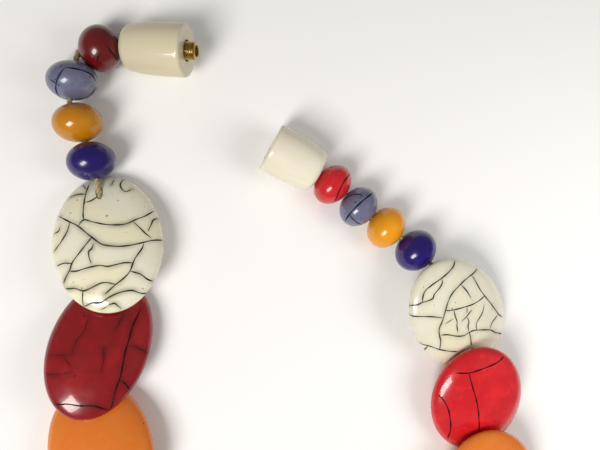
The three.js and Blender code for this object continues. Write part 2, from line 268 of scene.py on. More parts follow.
class NecklaceSizes(bpy.types.PropertyGroup):
    """Sizes of the fine detail that the solids leave out"""

    crack_width: length_setting("Crack width", "Widest part of a crack", 0.5)
    # The halo beside each crack is partly stain and partly painted shade.
    crack_halo: length_setting("Halo", "Reach of the soft stain beside a crack", 0.9)
    crack_relief: length_setting("Crack relief", "How proud a crack line stands", 0.03)
    hole_diameter: length_setting("Hole", "Drilled hole in a bead or disc", 1.9)
    strand_diameter: length_setting("Strand", "One of the thread's twisted strands", 0.8)
    strand_lay: length_setting("Lay", "Length of one full twist of the thread", 4.2)
    screw_pitch: length_setting("Screw pitch", "From ridge to ridge on the brass screw", 0.44)
    screw_depth: length_setting("Screw depth", "Depth of the brass screw's ridges", 0.2)


class NecklaceStage(bpy.types.PropertyGroup):
    """Light and table"""

    window_power: bpy.props.FloatProperty(
        name="Window", description="Power of the window's light in watts", default=3.2, min=0,
        unit="POWER",
    )
    fill_power: bpy.props.FloatProperty(
        name="Fill", description="Power of the soft light from the right", default=0.22, min=0,
        unit="POWER",
    )
    sky_strength: bpy.props.FloatProperty(
        name="Room", description="Strength of the even light of the room", default=0.24, min=0,
    )
    table: colour_setting("Table", "Plain pale table", "F4F3F1")


def colours():
    return bpy.context.scene.necklace_colours


def sizes():
    return bpy.context.scene.necklace_sizes


# ---------------------------------------------------------------- node trees


class Field:
    """A socket's value, so that numbers that vary over a surface add and multiply in Python"""

    def __init__(self, graph, socket):
        self.graph = graph
        self.socket = socket

    def _with(self, operation, *terms):
        return self.graph.node("ShaderNodeMath", {"operation": operation}, dict(enumerate(terms)))

    def __add__(self, other):
        return self._with("ADD", self, other)

    def __sub__(self, other):
        return self._with("SUBTRACT", self, other)

    def __rsub__(self, other):
        return self._with("SUBTRACT", other, self)

    def __mul__(self, other):
        return self._with("MULTIPLY", self, other)

    def __truediv__(self, other):
        return self._with("DIVIDE", self, other)

    __radd__ = __add__
    __rmul__ = __mul__


class Graph:
    """A node tree being built"""

    def __init__(self, tree):
        self.tree = tree

    def node(self, kind, settings=None, inputs=None, out=0):
        """Adds a node: its settings first, then its sockets' values or links."""
        made = self.tree.nodes.new(kind)
        for key, value in (settings or {}).items():
            if key == "stops":
                self.set_stops(made.color_ramp, value)
            else:
                setattr(made, key, value)
        for key, value in (inputs or {}).items():
            if isinstance(value, Field):
                self.tree.links.new(value.socket, made.inputs[key])
            else:
                made.inputs[key].default_value = value
        return Field(self, made.outputs[out])

    @staticmethod
    def set_stops(ramp, stops):
        while len(ramp.elements) < len(stops):
            ramp.elements.new(1.0)
        for element, (place, colour) in zip(ramp.elements, stops):
            element.position = place
            element.color = (*colour, 1)


class Surface(Graph):
    """A procedural material with one main shader"""

    def __init__(self, name, **constants):
        self.material = bpy.data.materials.new(name)
        self.material.use_nodes = True
        super().__init__(self.material.node_tree)
        self.shader = self.tree.nodes["Principled BSDF"]
        self.place = self.node("ShaderNodeTexCoord", out="Object")
        for key, value in constants.items():
            self.shader.inputs[key.replace("_", " ")].default_value = value

    def feed(self, **fields):
        for key, value in fields.items():
            self.tree.links.new(value.socket, self.shader.inputs[key.replace("_", " ")])

    def noise(self, size, detail=2.0, roughness=0.5, distortion=0.0, place=None):
        settings = {"noise_dimensions": "3D"}
        inputs = {"Vector": place or self.place, "Scale": 1 / size, "Detail": detail,
                  "Roughness": roughness, "Distortion": distortion}
        return self.node("ShaderNodeTexNoise", settings, inputs)

    def between(self, value, low, high, to_low=0.0, to_high=1.0):
        settings = {"interpolation_type": "SMOOTHSTEP"}
        inputs = {0: value, 1: low, 2: high, 3: to_low, 4: to_high}
        return self.node("ShaderNodeMapRange", settings, inputs)

    def mix(self, factor, first, second):
        pair = [c if isinstance(c, Field) else (*c, 1) for c in (first, second)]
        return self.node("ShaderNodeMix", {"data_type": "RGBA"},
                         {0: factor, 6: pair[0], 7: pair[1]}, out=2)

    def bump(self, height, strength, distance):
        return self.node("ShaderNodeBump", None,
                         {"Height": height, "Strength": strength, "Distance": distance})

    def toned_and_shaded(self, colour):
        """The colour, scaled by the casting's depth: partly its own colour, partly painted shade."""
        return self.node("ShaderNodeVectorMath", {"operation": "SCALE"},
                         {0: colour, "Scale": self.own("tone")})

    def own(self, name, out="Fac"):
        """A value that the mesh carries itself."""
        return self.node("ShaderNodeAttribute", {"attribute_name": name}, out=out)


def tinted(colour, factor):
    return tuple(min(1.0, c * factor) for c in colour)


def resin(name, colour, cloud, pale, specks, patch, smoke):
    """Cast resin: clouded colour with broad patches of another shade, a few specks and a polish
    that is a little uneven."""
    made = Surface(name, Coat_Weight=0.45, Coat_Roughness=0.03, Specular_IOR_Level=0.38)
    drift = made.noise(11 * MM, detail=3, roughness=0.6, distortion=0.6)
    fine = made.noise(2.2 * MM, detail=3)
    broad = made.noise(21 * MM, detail=1.5, distortion=0.8)
    other = tuple(min(1.0, c * share) for c, share in zip(colour, patch))
    body = made.mix(made.between(drift, 0.35, 0.7), tinted(colour, cloud), colour)
    body = made.mix(made.between(broad, 0.42, 0.62), body, other)
    body = made.mix(made.between(fine, 0.5, 0.8, 0, 0.35), body, tinted(colour, pale))
    dots = made.between(made.noise(0.9 * MM, detail=0), 0.86 - specks, 0.90 - specks)
    patches = made.between(made.noise(8 * MM), 0.45, 0.6)
    body = made.mix(dots * patches, body, tinted(colour, 0.2))
    # Darker beside the cracks: partly stain, partly painted shade of the cracks under the glaze.
    drifts = made.between(made.noise(6 * MM, detail=1), 0.35, 0.65, 0.25, 0.75)
    body = made.mix(made.own("halo") * drifts, body, linear(smoke))
    polish = made.between(made.noise(5 * MM, detail=4), 0.3, 0.7, 0.17, 0.3)
    waves = made.noise(7 * MM, detail=1)
    made.feed(Base_Color=made.toned_and_shaded(body), Roughness=polish,
              Normal=made.bump(waves, 0.25, 0.4 * MM))
    return made.material


def crack_material(name, colour, pale):
    """The stain in a crack, a little uneven along its length."""
    made = Surface(name, Specular_IOR_Level=0.15)
    run = made.between(made.noise(1.6 * MM), 0.35, 0.75)
    made.feed(Base_Color=made.mix(run, colour, pale),
              Roughness=made.between(made.noise(0.8 * MM), 0.3, 0.7, 0.35, 0.55))
    return made.material


def ivory_material():
    """Turned resin with a faint lengthwise grain."""
    colour = tuple(colours().ivory)
    made = Surface("clasp_ivory", Coat_Weight=0.12, Coat_Roughness=0.04, Specular_IOR_Level=0.38)
    grain = made.own("grain", out="Vector")
    streaks = made.noise(0.9 * MM, detail=4, roughness=0.6, place=grain)
    broad = made.noise(4 * MM, detail=2, place=grain)
    drift = made.noise(9 * MM, detail=3)
    warm = tuple(c * share for c, share in zip(colour, (0.93, 0.87, 0.72)))
    body = made.mix(made.between(streaks, 0.35, 0.75, 0, 0.35), colour, warm)
    body = made.mix(made.between(broad, 0.4, 0.7, 0, 0.4), body, tinted(colour, 1.05))
    body = made.mix(made.between(drift, 0.45, 0.75, 0, 0.35), body, warm)
    # A lower depth also warms the ivory: partly its own yellower colour, partly painted shade.
    body = made.mix((1 - made.own("tone")) * 6, body, warm)
    made.feed(Base_Color=made.toned_and_shaded(body), Roughness=made.between(streaks, 0.3, 0.7, 0.1, 0.2),
              Normal=made.bump(streaks, 0.06, 0.06 * MM))
    return made.material


def brass_material():
    """Machined brass, a little dull, with painted shade darkening it down in the screw's grooves and
    in the stud's hollow end.
    """
    colour = tuple(colours().brass)
    made = Surface("screw_brass", Metallic=1.0)
    crest = made.own("crest")
    stain = made.noise(1.5 * MM, detail=4, roughness=0.7)
    # Painted shade: darker where the crest value is low, in the grooves and down the stud's hollow.
    body = made.mix(made.between(crest, 0.1, 0.8), tinted(colour, 0.36), colour)
    body = made.mix(made.between(stain, 0.5, 0.8, 0, 0.5), body, tinted(colour, 0.55))
    rough = made.between(stain, 0.3, 0.8, 0.22, 0.45)
    made.feed(Base_Color=body, Roughness=rough, Normal=made.bump(stain, 0.2, 0.05 * MM))
    return made.material


def thread_material():
    """Twisted fibres, khaki with a few gold ones."""
    colour = tuple(colours().thread)
    made = Surface("twisted_thread", Sheen_Weight=0.3, IOR=1.5)
    lie = made.own("fibre", out="Vector")
    fibre = made.noise(0.12 * MM, detail=2, place=lie)
    gold = made.noise(0.5 * MM, detail=1, place=lie)
    body = made.mix(made.between(fibre, 0.3, 0.7), tinted(colour, 0.45), tinted(colour, 1.25))
    body = made.mix(made.between(gold, 0.5, 0.65, 0, 0.6), body, linear("C9A24A"))
    made.feed(Base_Color=body, Roughness=made.between(fibre, 0.3, 0.7, 0.4, 0.65),
              Normal=made.bump(fibre, 0.5, 0.08 * MM))
    return made.material


# ---------------------------------------------------------------- reading the solids


def node_points(name):
    """The separate corners of a CAD node, in metres."""
    mesh = frame["nodes"][name].data
    points = np.empty(len(mesh.vertices) * 3)
    mesh.vertices.foreach_get("co", points)
    return np.unique(points.reshape(-1, 3).round(7), axis=0)


class Oval:
    """The smooth oval that a faceted bead or disc was cut from"""

    def __init__(self, name):
        points = node_points(name)
        middle = points.mean(axis=0)
        near = (points - middle) / FIT_UNIT
        while True:
            x, y, z = near.T
            terms = np.stack([x * x, y * y, z * z, 2 * x * y, 2 * x * z, 2 * y * z,
                              2 * x, 2 * y, 2 * z], axis=1)
            fit = np.linalg.lstsq(terms, np.ones(len(near)), rcond=None)[0]
            error = abs(terms @ fit - 1)
            if error.max() < FIT_ERROR:
                break
            near = near[error < np.quantile(error, FIT_KEPT)]
        form = np.array([[fit[0], fit[3], fit[4]], [fit[3], fit[1], fit[5]],
                         [fit[4], fit[5], fit[2]]])
        offset = -np.linalg.solve(form, fit[6:])
        stretch, axes = np.linalg.eigh(form / (1 + offset @ form @ offset))
        half = FIT_UNIT / np.sqrt(stretch)
        self.centre = Vector(middle + offset * FIT_UNIT)
        self.disc = name.startswith("disc")
        along = Vector(axes[:, 0] if self.disc else axes[:, 2])
        if self.disc and along.z < 0:
            along = -along
        up = Vector(axes[:, 2]) if self.disc else Vector((0, 0, 1))
        if up.z < 0:
            up = -up
        across = up.cross(along).normalized()
        up = along.cross(across).normalized()
        self.axes = Matrix((along, across, up)).transposed()
        self.half = Vector(half if self.disc else (half[2], half[0], half[0]))

    def at(self, unit):
        """The point of the surface that a point of the unit ball's surface stands for."""
        return self.centre + self.axes @ (self.half * Vector(unit))

    def outward(self, unit):
        return (self.axes @ Vector(u / h for u, h in zip(unit, self.half))).normalized()

    def to_unit(self, vector):
        return Vector(c / h for c, h in zip(self.axes.transposed() @ vector, self.half))

    def matrix(self):
        return Matrix.Translation(self.centre) @ self.axes.to_4x4() @ Matrix.Diagonal((*self.half, 1))


def thread_line():
    """The thread's centre line, from the rings of its CAD tube."""
    tube = bmesh.new()
    tube.from_mesh(frame["nodes"]["thread"].data)
    bmesh.ops.remove_doubles(tube, verts=tube.verts, dist=1e-6)
    first = Vector(node_points("clasp_stud").mean(axis=0))
    ring = sorted(tube.verts, key=lambda v: (v.co - first).length)[:TUBE_SIDES]
    seen = set(ring)
    line = []
    while ring:
        line.append(sum((v.co for v in ring), Vector()) / len(ring))
        ring = list({e.other_vert(v) for v in ring for e in v.link_edges} - seen)
        seen.update(ring)
    tube.free()
    return line


class Turned:
    """Where a turned part of the clasp stands: its axis and the reach of its solid along it"""

    def __init__(self, name, mount):
        stated = next(m for m in frame["record"]["mounts"] if m["name"] == mount)
        self.axis = Vector(stated["axis"]).normalized()
        points = node_points(name)
        along = points @ np.array(self.axis)
        face = points[along > along.max() - 2e-6]
        spokes = points - (face.max(axis=0) + face.min(axis=0)) / 2
        spokes -= np.outer(spokes @ np.array(self.axis), np.array(self.axis))
        self.origin = Vector(face.mean(axis=0))
        self.length = along.max() - along.min()
        self.radius = np.linalg.norm(spokes, axis=1).max()
        side = self.axis.cross(Vector((0, 0, 1))).normalized()
        self.axes = Matrix((self.axis, side, self.axis.cross(side))).transposed()

    def at(self, along, radius, angle):
        spoke = Vector((along, radius * math.cos(angle), radius * math.sin(angle)))
        return self.origin + self.axes @ spoke


STRAND = sorted(n for n in frame["nodes"] if n.startswith(("disc_", "bead_")))
OVALS = {name: Oval(name) for name in STRAND}


def colour_of(name):
    return name.split("_")[-1]


def resin_of(name):
    """The resin a casting is poured from: the orange beads are yellower than the discs."""
    return "amber" if name.startswith("bead") and colour_of(name) == "orange" else colour_of(name)


# ---------------------------------------------------------------- meshes


def plain_object(name, mesh, *materials):
    for material in materials:
        mesh.materials.append(material)
    made = bpy.data.objects.new(name, mesh)
    bpy.context.scene.collection.objects.link(made)
    return made


def settle(piece, slot, *nodes):
    """Fixes a finished piece to the necklace and hides the solids it stands for."""
    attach(piece, "root")
    if nodes:
        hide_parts(*nodes)


def baked(source, name):
    """The object with its modifiers applied, as a new plain mesh."""
    ready = source.evaluated_get(bpy.context.evaluated_depsgraph_get())
    mesh = bpy.data.meshes.new_from_object(ready)
    mesh.name = name
    old = source.data
    source.modifiers.clear()
    source.data = mesh
    source.name = name
    if old.users == 0:
        bpy.data.meshes.remove(old)
    return source


def swept_tube(line, radius, sides):
    """A closed tube along a line of points."""
    tube = bmesh.new()
    rings = []
    normal = Vector((0, 0, 1))
    for i, point in enumerate(line):
        way = (line[min(i + 1, len(line) - 1)] - line[max(i - 1, 0)]).normalized()
        normal = (normal - way * normal.dot(way)).normalized()
        other = way.cross(normal)
        turns = [2 * math.pi * k / sides for k in range(sides)]
        rings.append([tube.verts.new(point + (normal * math.cos(a) + other * math.sin(a)) * radius)
                      for a in turns])
    for low, high in zip(rings, rings[1:]):
        for k in range(sides):
            n = (k + 1) % sides
            tube.faces.new((low[k], low[n], high[n], high[k]))
    tube.faces.new(reversed(rings[0]))
    tube.faces.new(rings[-1])
    bmesh.ops.recalc_face_normals(tube, faces=tube.faces)
    mesh = bpy.data.meshes.new("tube")
    tube.to_mesh(mesh)
    tube.free()
    return mesh


def smooth(mesh):
    mesh.polygons.foreach_set("use_smooth", [True] * len(mesh.polygons))


def revolved(name, place, rows, sides, ring=False):
    """A turned body from its stations: each is how far along, its radius, or one radius for each
    side, and its crest value. It closes on the axis, or on itself if it is a ring."""
    body = bmesh.new()
    crests, grain = [], []
    rings = []
    for along, radius, crest in rows:
        each = radius if isinstance(radius, list) else [radius] * sides
        if max(each) == 0:
            rings.append([body.verts.new(place.at(along, 0, 0))] * sides)
            crests.append(crest)
            grain.extend((along * GRAIN_STRETCH, 0, 0))
            continue
        verts = []
        for k, reach in enumerate(each):
            turn = 2 * math.pi * k / sides
            verts.append(body.verts.new(place.at(along, reach, turn)))
            crests.append(crest[k] if isinstance(crest, list) else crest)
            grain.extend((along * GRAIN_STRETCH, reach * math.cos(turn), reach * math.sin(turn)))
        rings.append(verts)
    pairs = list(zip(rings, rings[1:])) + ([(rings[-1], rings[0])] if ring else [])
    for low, high in pairs:
        for k in range(sides):
            n = (k + 1) % sides
            corners = list(dict.fromkeys((low[k], low[n], high[n], high[k])))
            body.faces.new(corners)
    bmesh.ops.recalc_face_normals(body, faces=body.faces)
    mesh = bpy.data.meshes.new(name)
    body.to_mesh(mesh)
    body.free()
    mesh.attributes.new("grain", "FLOAT_VECTOR", "POINT").data.foreach_set("vector", grain)
    mesh.attributes.new("crest", "FLOAT", "POINT").data.foreach_set("value", crests)
    smooth(mesh)
    return mesh


def arc(along, radius, size, start, end, steps=7):
    """Stations on an arc about a centre, from one angle to another in degrees."""
    turns = [math.radians(start + (end - start) * i / steps) for i in range(steps + 1)]
    return [(along + size * math.cos(t), radius + size * math.sin(t), 1.0) for t in turns]


# ---------------------------------------------------------------- cracks


def photo_axes():
    """Which way the photograph's camera looks, and its right and up."""
    ahead = Vector((math.tan(VIEW_LEAN[0]), math.tan(VIEW_LEAN[1]), -1)).normalized()
    right = ahead.cross(Vector((0, 1, 0))).normalized()
    return ahead, right, right.cross(ahead)


def seen_at(oval, x, y):
    """The place on an oval, as a point of the unit ball, that a photo pixel shows."""
    ahead, right, up = photo_axes()
    ray = ahead * PHOTO_FOCUS + right * (x - PHOTO_WIDTH / 2) - up * (y - PHOTO_HEIGHT / 2)
    start = oval.to_unit(VIEW_PLACE - oval.centre)
    way = oval.to_unit(ray)
    nearest = -start.dot(way) / way.dot(way)
    miss = (start + way * nearest).length
    if miss < 1:
        nearest -= math.sqrt((1 - miss * miss) / way.dot(way))
    return (start + way * nearest).normalized()


def charted_cracks(name, oval):
    """The lines of a chart on their casting, each with its share of the full width."""
    (left, top), scale, *groups = CRACK_CHARTS[name]
    made = []
    for share, lines in zip((1.0, FAINT_SHARE), groups):
        for line in lines:
            places = [seen_at(oval, left + x / scale, top + y / scale) for x, y in line]
            made.append((places, share))
    return made


def grown_cracks(rng, oval, side, count):
    """Cracks that start at the rim or on each other and run until they meet another."""
    scale = Vector((oval.half.x, oval.half.y)) / MM
    lines = []
    for n in range(count * 3):
        if len(lines) >= count:
            break
        if n < CRACKS_FROM_RIM:
            turn = rng.uniform(0, 2 * math.pi)
            place = Vector((math.cos(turn) * scale.x, math.sin(turn) * scale.y)) * 0.97
            heading = math.atan2(-place.y, -place.x) + rng.uniform(-0.7, 0.7)
        else:
            old = rng.choice(lines)
            i = rng.randrange(1, len(old) - 1)
            place = old[i].copy()
            way = old[i + 1] - old[i - 1]
            heading = math.atan2(way.y, way.x) + rng.choice((-1, 1)) * rng.uniform(1.1, 1.9)
        line = [place]
        bend = rng.uniform(-CRACK_BEND, CRACK_BEND)
        while len(line) < CRACK_MOST_STEPS:
            heading += bend + rng.gauss(0, CRACK_WANDER)
            step = line[-1] + Vector((math.cos(heading), math.sin(heading))) * CRACK_STEP
            line.append(step)
            at_rim = Vector((step.x / scale.x, step.y / scale.y)).length > 0.98
            met = len(line) > 4 and any(
                (step - p).length < CRACK_MEETS for old in lines for p in old)
            if at_rim or met or (len(line) > 9 and rng.random() < 0.03):
                break
        if len(line) > 5:
            lines.append(line)
    lift = 1 if side == "front" else -1
    made = []
    for line in lines:
        flat = [Vector((p.x / scale.x, p.y / scale.y)) for p in line]
        made.append([Vector((p.x, p.y, lift * math.sqrt(max(0.02, 1 - p.length_squared))))
                     .normalized() for p in flat])
    return made


def rounded_line(points, oval):
    """A smooth, closely stepped line through points of the unit ball."""
    ends = [points[0] * 2 - points[1], *points, points[-1] * 2 - points[-2]]
    line = []
    for a, b, c, d in zip(ends, ends[1:], ends[2:], ends[3:]):
        gap = (oval.at(c) - oval.at(b)).length
        steps = max(2, round(gap / (0.4 * MM)))
        for i in range(steps):
            t = i / steps
            line.append((a * (-t + 2 * t * t - t**3) + b * (2 - 5 * t * t + 3 * t**3)
                         + c * (t + 4 * t * t - 3 * t**3) + d * (t**3 - t * t)) * 0.5)
    return [p.normalized() for p in [*line, points[-1]]]


def cracks_of(name):
    """All cracks of a casting: its oval, each line's points, and its share of the full width."""
    oval = OVALS[name]
    rng = random.Random(f"{CRACK_SEED} {name}")
    many = (GROWN_CRACKS if oval.disc else GROWN_ON_BEADS).get(colour_of(name), 0)
    charted = name in CRACK_CHARTS
    lines = []
    if charted:
        lines = [(oval, path, share) for path, share in charted_cracks(name, oval)]
    for side in ("back",) if charted else ("front", "back"):
        lines += [(oval, path, 1.0) for path in grown_cracks(rng, oval, side, many)]
    return lines


def crack_paths(name, lines, width):
    """The cracks' lines as edges that carry the surface's way out and their own width."""
    rng = random.Random(name)
    verts, edges, outward, girth = [], [], [], []
    for oval, points, share in lines:
        line = rounded_line(points, oval)
        phase = rng.uniform(0, 6)
        for i, unit in enumerate(line):
            if i:
                edges.append((len(verts) - 1, len(verts)))
            verts.append(oval.at(unit))
            outward.extend(oval.outward(unit))
            taper = min(1, 0.4 + 0.2 * min(i, len(line) - 1 - i))
            girth.append(width * share * taper * (0.85 + 0.2 * math.sin(phase + 0.55 * i)))
    mesh = bpy.data.meshes.new(name)
    mesh.from_pydata(verts, edges, [])
    mesh.attributes.new("outward", "FLOAT_VECTOR", "POINT")
    mesh.attributes["outward"].data.foreach_set("vector", outward)
    mesh.attributes.new("girth", "FLOAT", "POINT")
    mesh.attributes["girth"].data.foreach_set("value", girth)
    return mesh


def new_tree(name, **inputs):
    """A Geometry Nodes tree with named inputs; gives its graph and the inputs as fields."""
    tree = bpy.data.node_groups.new(name, "GeometryNodeTree")
    tree.interface.new_socket("Geometry", in_out="INPUT", socket_type="NodeSocketGeometry")
    tree.interface.new_socket("Geometry", in_out="OUTPUT", socket_type="NodeSocketGeometry")
    for label, kind in inputs.items():
        tree.interface.new_socket(label.replace("_", " "), in_out="INPUT", socket_type=kind)
    graph = Graph(tree)
    start = tree.nodes.new("NodeGroupInput")
    fields = {"Geometry": Field(graph, start.outputs["Geometry"])}
    for label in inputs:
        fields[label] = Field(graph, start.outputs[label.replace("_", " ")])
    return graph, fields


def end_tree(graph, geometry, material):
    """Closes a tree: instances made real, and its material set."""
    geometry = graph.node("GeometryNodeSetShadeSmooth", None, {"Geometry": geometry})
    real = graph.node("GeometryNodeRealizeInstances", None, {"Geometry": geometry})
    dressed = graph.node("GeometryNodeSetMaterial", None, {"Geometry": real, "Material": material})
    last = graph.tree.nodes.new("NodeGroupOutput")
    graph.tree.links.new(dressed.socket, last.inputs["Geometry"])
    return graph.tree


def grown(name, mesh, tree, **values):
    """Runs a tree on a mesh and keeps the result as a plain object."""
    source = plain_object(name, mesh)
    modifier = source.modifiers.new("Growth", "NODES")
    modifier.node_group = tree
    for item in tree.interface.items_tree:
        label = item.name.replace(" ", "_")
        if item.in_out == "INPUT" and label in values:
            modifier[item.identifier] = values[label]
    return baked(source, name)


def crack_tree():
    """Lays a thin low ridge along each line, flat to the surface it runs on."""
    graph, given = new_tree("crack_lines", Relief="NodeSocketFloat", Stain="NodeSocketMaterial")
    line = graph.node("GeometryNodeMeshToCurve", None, {"Mesh": given["Geometry"]})
    outward = graph.node("GeometryNodeInputNamedAttribute", {"data_type": "FLOAT_VECTOR"},
                         {"Name": "outward"})
    line = graph.node("GeometryNodeSetCurveNormal", {"mode": "FREE"},
                      {"Curve": line, "Normal": outward})
    girth = graph.node("GeometryNodeInputNamedAttribute", {"data_type": "FLOAT"},
                       {"Name": "girth"})
    ring = graph.node("GeometryNodeCurvePrimitiveCircle", {"mode": "RADIUS"},
                      {"Resolution": 6, "Radius": 0.5})
    flat = graph.node("ShaderNodeCombineXYZ", None, {"X": given["Relief"] * 2, "Y": 1.0, "Z": 1.0})
    ring = graph.node("GeometryNodeTransform", None, {"Geometry": ring, "Scale": flat})
    ridge = graph.node("GeometryNodeCurveToMesh", None,
                       {"Curve": line, "Profile Curve": ring, "Scale": girth, "Fill Caps": True})
    return end_tree(graph, ridge, given["Stain"])


def thread_tree():
    """Winds strands round the thread's line."""
    graph, given = new_tree("twisted_strands", Step="NodeSocketFloat", Lay="NodeSocketFloat",
                            Strand="NodeSocketFloat", Strands="NodeSocketInt",
                            Fibre="NodeSocketMaterial")
    line = graph.node("GeometryNodeMeshToCurve", None, {"Mesh": given["Geometry"]})
    line = graph.node("GeometryNodeResampleCurve", {"mode": "LENGTH"},
                      {"Curve": line, "Length": given["Step"]})
    copies = graph.tree.nodes.new("GeometryNodeDuplicateElements")
    copies.domain = "SPLINE"
    graph.tree.links.new(line.socket, copies.inputs["Geometry"])
    graph.tree.links.new(given["Strands"].socket, copies.inputs["Amount"])
    line = Field(graph, copies.outputs["Geometry"])
    which = Field(graph, copies.outputs["Duplicate Index"])
    run = graph.node("GeometryNodeSplineParameter", out="Length")
    angle = (run / given["Lay"] + which / given["Strands"]) * (2 * math.pi)
    normal = graph.node("GeometryNodeInputNormal")
    tangent = graph.node("GeometryNodeInputTangent")
    turned = graph.node("ShaderNodeVectorRotate", {"rotation_type": "AXIS_ANGLE"},
                        {"Vector": normal, "Axis": tangent, "Angle": angle})
    offset = graph.node("ShaderNodeVectorMath", {"operation": "SCALE"},
                        {0: turned, "Scale": given["Strand"] * 0.56})
    line = graph.node("GeometryNodeSetPosition", None, {"Geometry": line, "Offset": offset})
    keep = graph.node("ShaderNodeCombineXYZ", None, {"X": run * 0.25, "Y": which * 0.01})
    line = graph.node("GeometryNodeStoreNamedAttribute",
                      {"data_type": "FLOAT_VECTOR", "domain": "POINT"},
                      {"Geometry": line, "Name": "fibre", "Value": keep})
    ring = graph.node("GeometryNodeCurvePrimitiveCircle", {"mode": "RADIUS"},
                      {"Resolution": 7, "Radius": 0.5})
    strand = graph.node("GeometryNodeCurveToMesh", None,
                        {"Curve": line, "Profile Curve": ring, "Scale": given["Strand"],
                         "Fill Caps": True})
    return end_tree(graph, strand, given["Fibre"])


# ---------------------------------------------------------------- castings


def set_tone_and_shade(piece, name):
    """Marks a casting with how deep its colour is drawn: partly its own, partly painted shade."""
    mesh = piece.data
    tone = mesh.attributes.new("tone", "FLOAT", "POINT")
    tone.data.foreach_set("value", [TONES_AND_SHADE.get(name, 1.0)] * len(mesh.vertices))


def halo_of(name):
    return HALOS.get(name, USUAL_HALOS.get(colour_of(name), 0.0))


def set_halo(piece, name):
    """Marks where a casting darkens beside its cracks: partly stain, partly painted shade."""
    mesh = piece.data
    nearness = [0.0] * len(mesh.vertices)
    if halo_of(name):
        places = [OVALS[name].at(unit) for _, points, share in cracks_of(name)
                  for unit in rounded_line(points, OVALS[name])]
        tree = KDTree(len(places))
        for i, place in enumerate(places):
            tree.insert(place, i)
        tree.balance()
        reach, strength = sizes().crack_halo, halo_of(name)
        nearness = [strength * math.exp(-(tree.find(v.co)[2] / reach) ** 2) for v in mesh.vertices]
    mesh.attributes.new("halo", "FLOAT", "POINT").data.foreach_set("value", nearness)


def resins():
    """One resin for each colour, made once."""
    made = {}
    for colour, traits in RESINS.items():
        name = f"poured_{colour}"
        made[colour] = bpy.data.materials.get(name) or resin(
            name, tuple(getattr(colours(), colour)), **traits)
    return made


def cast_oval(name, material, line):
    """One bead or disc, smooth, drilled where the thread passes."""
    oval = OVALS[name]
    body = bmesh.new()
    sides, rings = DISC_MESH if oval.disc else BEAD_MESH
    if halo_of(name):
        sides, rings = STAINED_MESH
    bmesh.ops.create_uvsphere(body, u_segments=sides, v_segments=rings, radius=1)
    bmesh.ops.transform(body, matrix=oval.matrix(), verts=body.verts)
    mesh = bpy.data.meshes.new(name)
    body.to_mesh(mesh)
    body.free()
    smooth(mesh)
    piece = plain_object(f"{name}_cast", mesh, material)
    reach = oval.half.x + 2 * MM
    near = [p for p in line if (p - oval.centre).length < reach]
    first = line.index(near[0])
    path = line[max(0, first - 1) : first + len(near) + 1]
    bore = plain_object("bore", swept_tube(path, sizes().hole_diameter / 2, BORE_SIDES))
    cut = piece.modifiers.new("Bore", "BOOLEAN")
    cut.operation = "DIFFERENCE"
    cut.solver = "EXACT"
    cut.object = bore
    baked(piece, f"{name}_cast")
    bpy.data.objects.remove(bore)
    set_tone_and_shade(piece, name)
    set_halo(piece, name)
    settle(piece, f"resin_{colour_of(name)}", name)


def cast_all(discs):
    """All the discs, or all the beads."""
    made = resins()
    line = thread_line()
    for name in STRAND:
        if OVALS[name].disc == discs:
            cast_oval(name, made[resin_of(name)], line)


# ---------------------------------------------------------------- operators


class NECKLACE_OT_discs(bpy.types.Operator):
    """Cast the flat oval discs"""

    bl_idname = "necklace.discs"
    bl_label = "Discs"

    def execute(self, context):
        cast_all(discs=True)
        return {"FINISHED"}


class NECKLACE_OT_beads(bpy.types.Operator):
    """Cast the small beads by the clasp"""

    bl_idname = "necklace.beads"
    bl_label = "Beads"

    def execute(self, context):
        cast_all(discs=False)
        return {"FINISHED"}


class NECKLACE_OT_cracks(bpy.types.Operator):
    """Run the stained cracks over the castings"""

    bl_idname = "necklace.cracks"
    bl_label = "Cracks"

    def execute(self, context):
        tree = crack_tree()
        width = sizes().crack_width
        for colour, stain in STAINS.items():
            lines = []
            for name in (n for n in STRAND if colour_of(n) == colour):
                lines += [(oval, path, stain["share"] * own) for oval, path, own in cracks_of(name)]
            name = f"cracks_{colour}"
            fill = crack_material(f"stain_{colour}", linear(stain["dark"]), linear(stain["pale"]))
            piece = grown(name, crack_paths(name, lines, width), tree,
                          Relief=sizes().crack_relief / width, Stain=fill)
            settle(piece, f"resin_{colour}")
        return {"FINISHED"}


